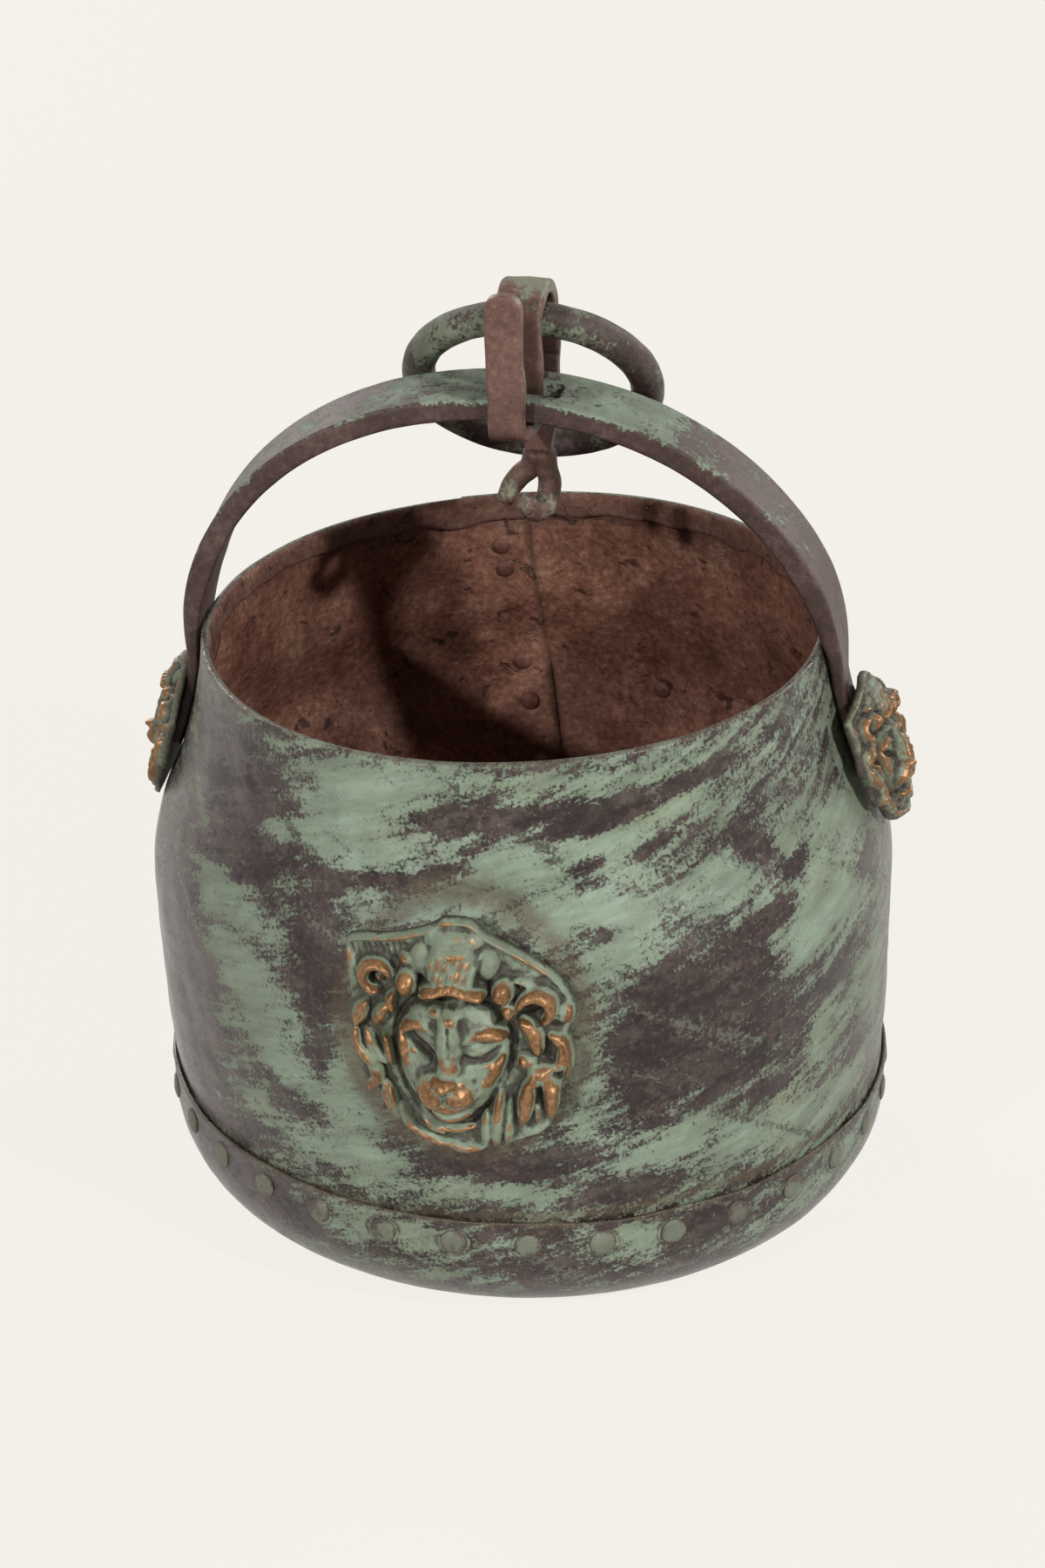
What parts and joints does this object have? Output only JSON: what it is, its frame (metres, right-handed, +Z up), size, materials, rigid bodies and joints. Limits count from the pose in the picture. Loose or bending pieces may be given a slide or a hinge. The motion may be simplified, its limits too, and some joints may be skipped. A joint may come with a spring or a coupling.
{
  "type": "riveted bucket with lion masks",
  "caption": "Rusty riveted sheet-iron bucket with a bellied wall, a fixed forged bail over its mouth, a curled hook strap, a loose carrying ring and cast lion masks.",
  "frame": {"origin": "middle of the base, on the floor", "axes": "+Z up, -Y towards the large front mask, the bail spans the mouth along X"},
  "size_m": [0.364, 0.3716, 0.443],
  "materials": {
    "sheet_iron": "rusted sheet iron with worn verdigris-coloured paint, stained and rubbed",
    "rivet_iron": "rusted rivets with pale rubbed heads",
    "forged_iron": "forged bar, brown scale with green bloom on top",
    "cast_mask": "worn cast brass with green patina in its hollows",
    "strap_iron": "rust-brown strap with coppery flecks and pale edges",
    "ring_iron": "mottled grey-green scale over brown iron"
  },
  "bodies": {
    "bucket": {"base_pan": "sheet_iron", "wall_shell": "sheet_iron", "base_rivets": "rivet_iron", "seam_rivets": "rivet_iron", "back_rivet": "rivet_iron", "bail": "forged_iron", "bail_rivets": "forged_iron", "lion_mask_front": "cast_mask", "lion_mask_left": "cast_mask", "lion_mask_right": "cast_mask", "hook_strap": "strap_iron"},
    "ring": {"ring": "ring_iron"}
  },
  "joints": [
    {"name": "ring_swing", "type": "hinge", "parent": "bucket", "child": "ring", "pos_m": [-0.00375, 0.01054, 0.41957], "axis": [0.9995, 0, 0.0332], "range_deg": [-6, 268]}
  ]
}
